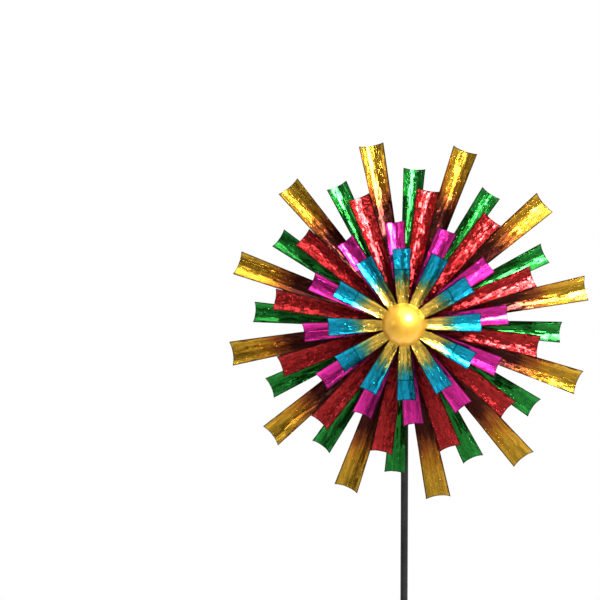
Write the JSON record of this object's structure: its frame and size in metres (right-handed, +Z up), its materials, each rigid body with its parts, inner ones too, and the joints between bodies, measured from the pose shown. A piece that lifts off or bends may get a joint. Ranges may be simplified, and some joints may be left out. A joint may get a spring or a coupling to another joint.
{
  "type": "wind spinner",
  "caption": "Garden wind spinner: two wheels of coloured trough-shaped metal blades turn on one level axle at the top of a black pole with a two-pronged ground stake.",
  "frame": {"origin": "on the pole's axis at the ground line, where the step bar leaves the pole", "axes": "+Z up along the pole; the wheels and the dome face -Y; the side prong stands towards -X"},
  "size_m": [0.6064, 0.1652, 1.8282],
  "materials": {
    "black_enamel": "semi-gloss black enamel",
    "zinc_steel": "zinc plated",
    "bearing_steel": "ground steel",
    "hub_bronze": "bronze enamel",
    "gold_to_umber": "transparent gold lacquer on textured steel, fading to umber at the hub",
    "emerald": "transparent green lacquer on textured steel",
    "ruby": "transparent red lacquer on textured steel",
    "magenta": "transparent magenta lacquer on textured steel",
    "gold_to_teal": "transparent teal lacquer on textured steel, gold at the hub",
    "gold_paint": "satin gold enamel"
  },
  "bodies": {
    "stand": {"ground_spike": "black_enamel", "step_bar": "black_enamel", "step_bar_weld": "black_enamel", "lower_pole": "black_enamel", "middle_pole": "black_enamel", "upper_pole": "black_enamel"},
    "head": {"head_socket": "black_enamel", "socket_cap": "black_enamel", "thumb_screw": "zinc_steel", "axle": "zinc_steel", "rear_spacer": "zinc_steel", "rear_hub_spacer": "zinc_steel", "middle_spacer": "zinc_steel", "front_hub_spacer": "zinc_steel", "bearing_inner_rings": "bearing_steel", "axle_washer": "zinc_steel", "axle_nut": "zinc_steel"},
    "rear_wheel": {"rear_hub": "hub_bronze", "rear_bearing_outer_rings": "bearing_steel", "rear_bearing_balls": "bearing_steel", "gold_plate": "hub_bronze", "green_plate": "hub_bronze", "red_plate": "hub_bronze", "gold_rivets": "zinc_steel", "green_rivets": "zinc_steel", "red_rivets": "zinc_steel", "green_blades": "emerald", "red_blades": "ruby", "gold_blade_01": "gold_to_umber", "gold_blade_02": "gold_to_umber", "gold_blade_03": "gold_to_umber", "gold_blade_04": "gold_to_umber", "gold_blade_05": "gold_to_umber", "gold_blade_06": "gold_to_umber", "gold_blade_07": "gold_to_umber", "gold_blade_08": "gold_to_umber", "gold_blade_09": "gold_to_umber", "gold_blade_10": "gold_to_umber", "gold_blade_11": "gold_to_umber", "gold_blade_12": "gold_to_umber"},
    "front_wheel": {"front_hub": "hub_bronze", "front_bearing_outer_rings": "bearing_steel", "front_bearing_balls": "bearing_steel", "magenta_plate": "hub_bronze", "front_plate": "hub_bronze", "magenta_rivets": "zinc_steel", "front_rivets": "zinc_steel", "magenta_blades": "magenta", "teal_blades": "gold_to_teal", "dome_cap": "gold_paint", "dome_clip": "zinc_steel", "short_blade_01": "gold_to_teal", "short_blade_02": "gold_to_teal", "short_blade_03": "gold_to_teal", "short_blade_04": "gold_to_teal", "short_blade_05": "gold_to_teal", "short_blade_06": "gold_to_teal"}
  },
  "joints": [
    {"name": "head_turn", "type": "hinge", "parent": "stand", "child": "head", "pos_m": [0, 0, 1.34], "axis": [0, 0, 1], "continuous": true},
    {"name": "rear_wheel_spin", "type": "hinge", "parent": "head", "child": "rear_wheel", "pos_m": [0, -0.076, 1.34], "axis": [0, 1, 0], "continuous": true},
    {"name": "front_wheel_spin", "type": "hinge", "parent": "head", "child": "front_wheel", "pos_m": [0, -0.105, 1.34], "axis": [0, 1, 0], "continuous": true}
  ]
}
